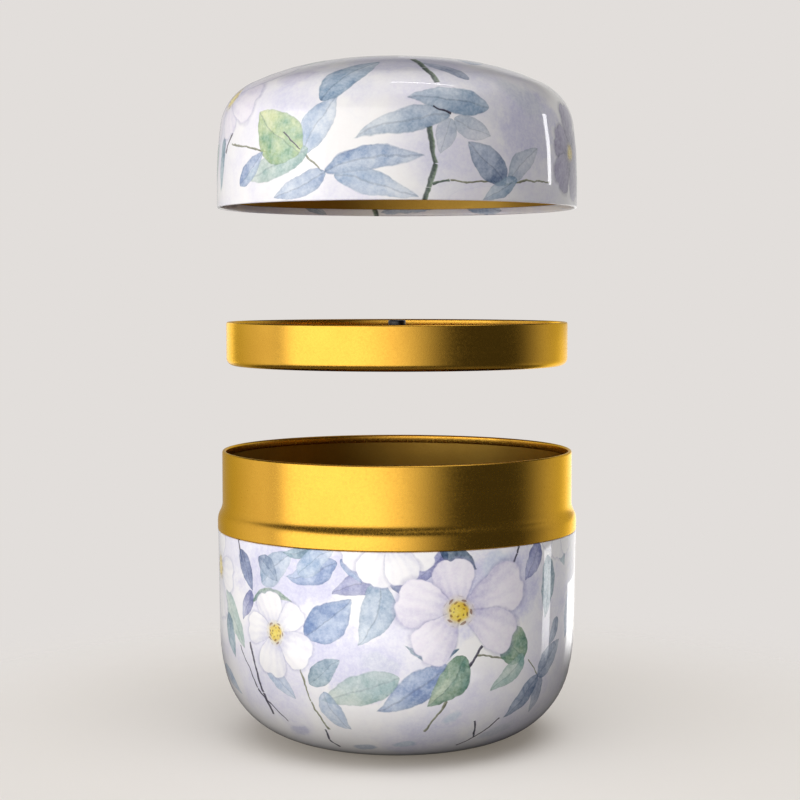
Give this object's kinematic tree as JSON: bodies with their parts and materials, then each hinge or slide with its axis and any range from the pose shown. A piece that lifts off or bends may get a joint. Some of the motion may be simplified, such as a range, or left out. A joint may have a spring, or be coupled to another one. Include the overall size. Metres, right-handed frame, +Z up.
{
  "type": "spice tin",
  "caption": "Round-bottomed lidded tin: printed floral bowl with a gold neck collar, gold plug lid with a small black knob, and a printed dome lid that slips over the neck.",
  "frame": {"origin": "on the tin's axis, in the plane of the flat foot it stands on", "axes": "+Z up along the tin's axis; the tin is round, and -Y faces the viewer of the printed front"},
  "size_m": [0.0678, 0.0678, 0.1274],
  "materials": {
    "printed_tin": "gloss varnish over a pale floral print",
    "gold_lacquer": "satin gold lacquer on tinplate",
    "black_knob": "gloss",
    "rivet_steel": "plain"
  },
  "bodies": {
    "tin_body": {"tin_bowl": "printed_tin", "neck_collar": "gold_lacquer"},
    "inner_lid": {"inner_lid_cup": "gold_lacquer", "inner_lid_knob": "black_knob", "knob_rivet": "rivet_steel"},
    "dome_lid": {"outer_lid": "printed_tin"}
  },
  "joints": [
    {"name": "inner_lid_lift", "type": "slide", "parent": "tin_body", "child": "inner_lid", "axis": [0, 0, 1], "range_m": [-0.0241, 0]},
    {"name": "outer_lid_lift", "type": "slide", "parent": "inner_lid", "child": "dome_lid", "axis": [0, 0, 1], "range_m": [-0.0316, 0]}
  ]
}
